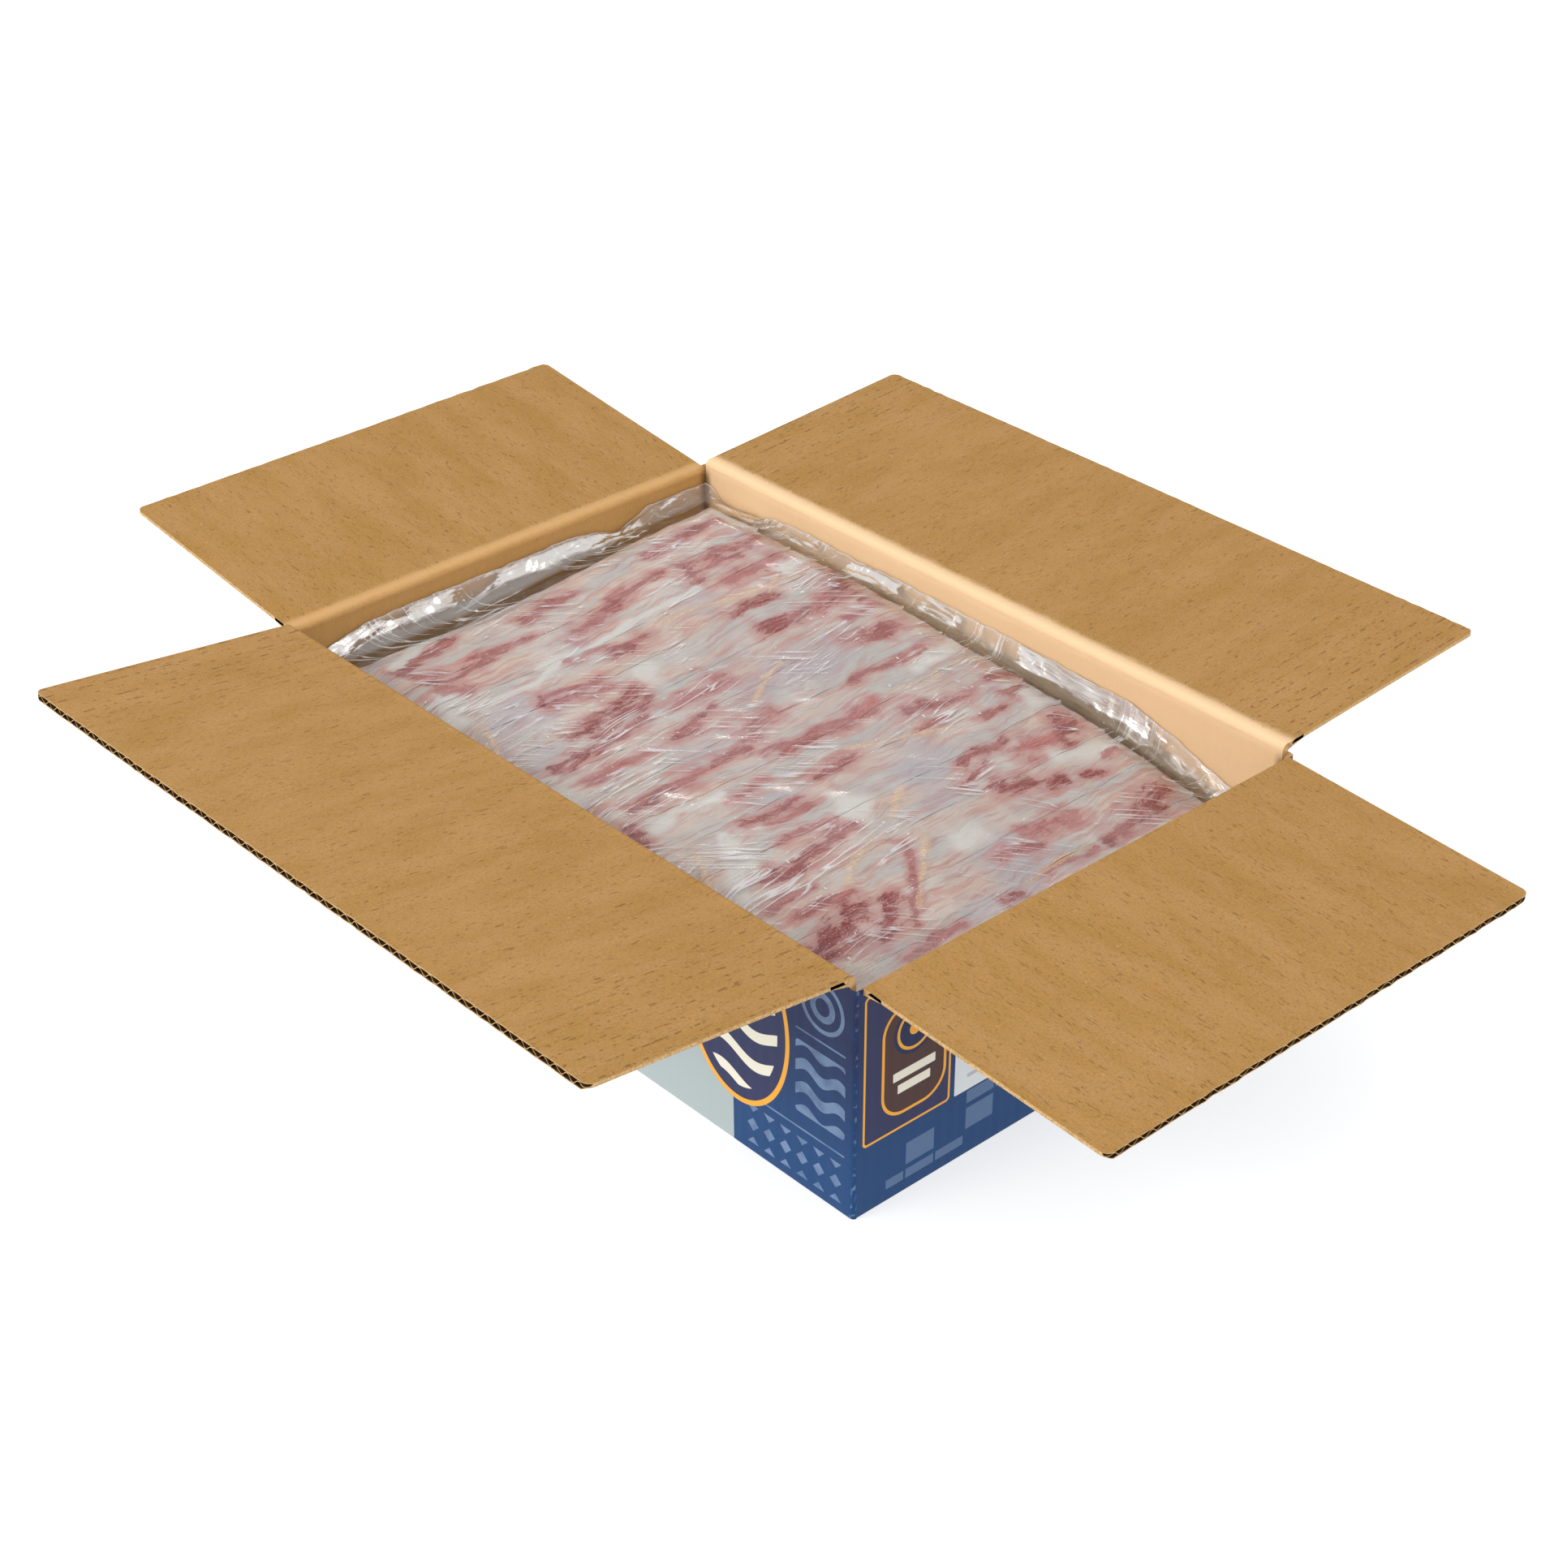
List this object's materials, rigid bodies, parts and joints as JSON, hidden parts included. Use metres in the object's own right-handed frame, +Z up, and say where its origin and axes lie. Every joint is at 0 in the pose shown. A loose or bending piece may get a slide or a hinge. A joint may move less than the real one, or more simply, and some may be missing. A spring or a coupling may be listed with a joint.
{
  "type": "open case of layout bacon",
  "caption": "Open printed corrugated case with hinged top flaps, holding a stack of overlapping bacon slices under a loose clear film.",
  "frame": {"origin": "centre of the case's underside", "axes": "+Z up, +X along the long walls, +Y from the front long wall to the back one"},
  "size_m": [0.7119, 0.5796, 0.1484],
  "materials": {
    "printed_board": "satin",
    "kraft_board": "matte",
    "bacon_fat": "satin",
    "bacon_lean": "satin",
    "clear_film": "gloss"
  },
  "bodies": {
    "filled_case": {"case": "printed_board", "bacon_stack": "bacon_fat", "slice_01": "bacon_lean", "slice_02": "bacon_lean", "slice_03": "bacon_lean", "slice_04": "bacon_lean", "slice_05": "bacon_lean", "slice_06": "bacon_lean", "slice_07": "bacon_lean", "slice_08": "bacon_lean", "slice_09": "bacon_lean", "slice_10": "bacon_lean", "slice_11": "bacon_lean", "slice_12": "bacon_lean", "slice_13": "bacon_lean", "film": "clear_film"},
    "right_flap": {"flap_right": "kraft_board"},
    "back_flap": {"flap_back": "kraft_board"},
    "left_flap": {"flap_left": "kraft_board"},
    "front_flap": {"flap_front": "kraft_board"}
  },
  "joints": [
    {"name": "right_fold", "type": "hinge", "parent": "filled_case", "child": "right_flap", "pos_m": [0.215, 0, 0.12245], "axis": [0, -1, 0], "range_deg": [-51.7, 183.3]},
    {"name": "back_fold", "type": "hinge", "parent": "filled_case", "child": "back_flap", "pos_m": [0, 0.1453, 0.12675], "axis": [1, 0, 0], "range_deg": [-58.4, 176.6]},
    {"name": "left_fold", "type": "hinge", "parent": "filled_case", "child": "left_flap", "pos_m": [-0.215, 0, 0.12245], "axis": [0, 1, 0], "range_deg": [-61.4, 173.6]},
    {"name": "front_fold", "type": "hinge", "parent": "filled_case", "child": "front_flap", "pos_m": [0, -0.1453, 0.12675], "axis": [-1, 0, 0], "range_deg": [-62, 173]}
  ]
}
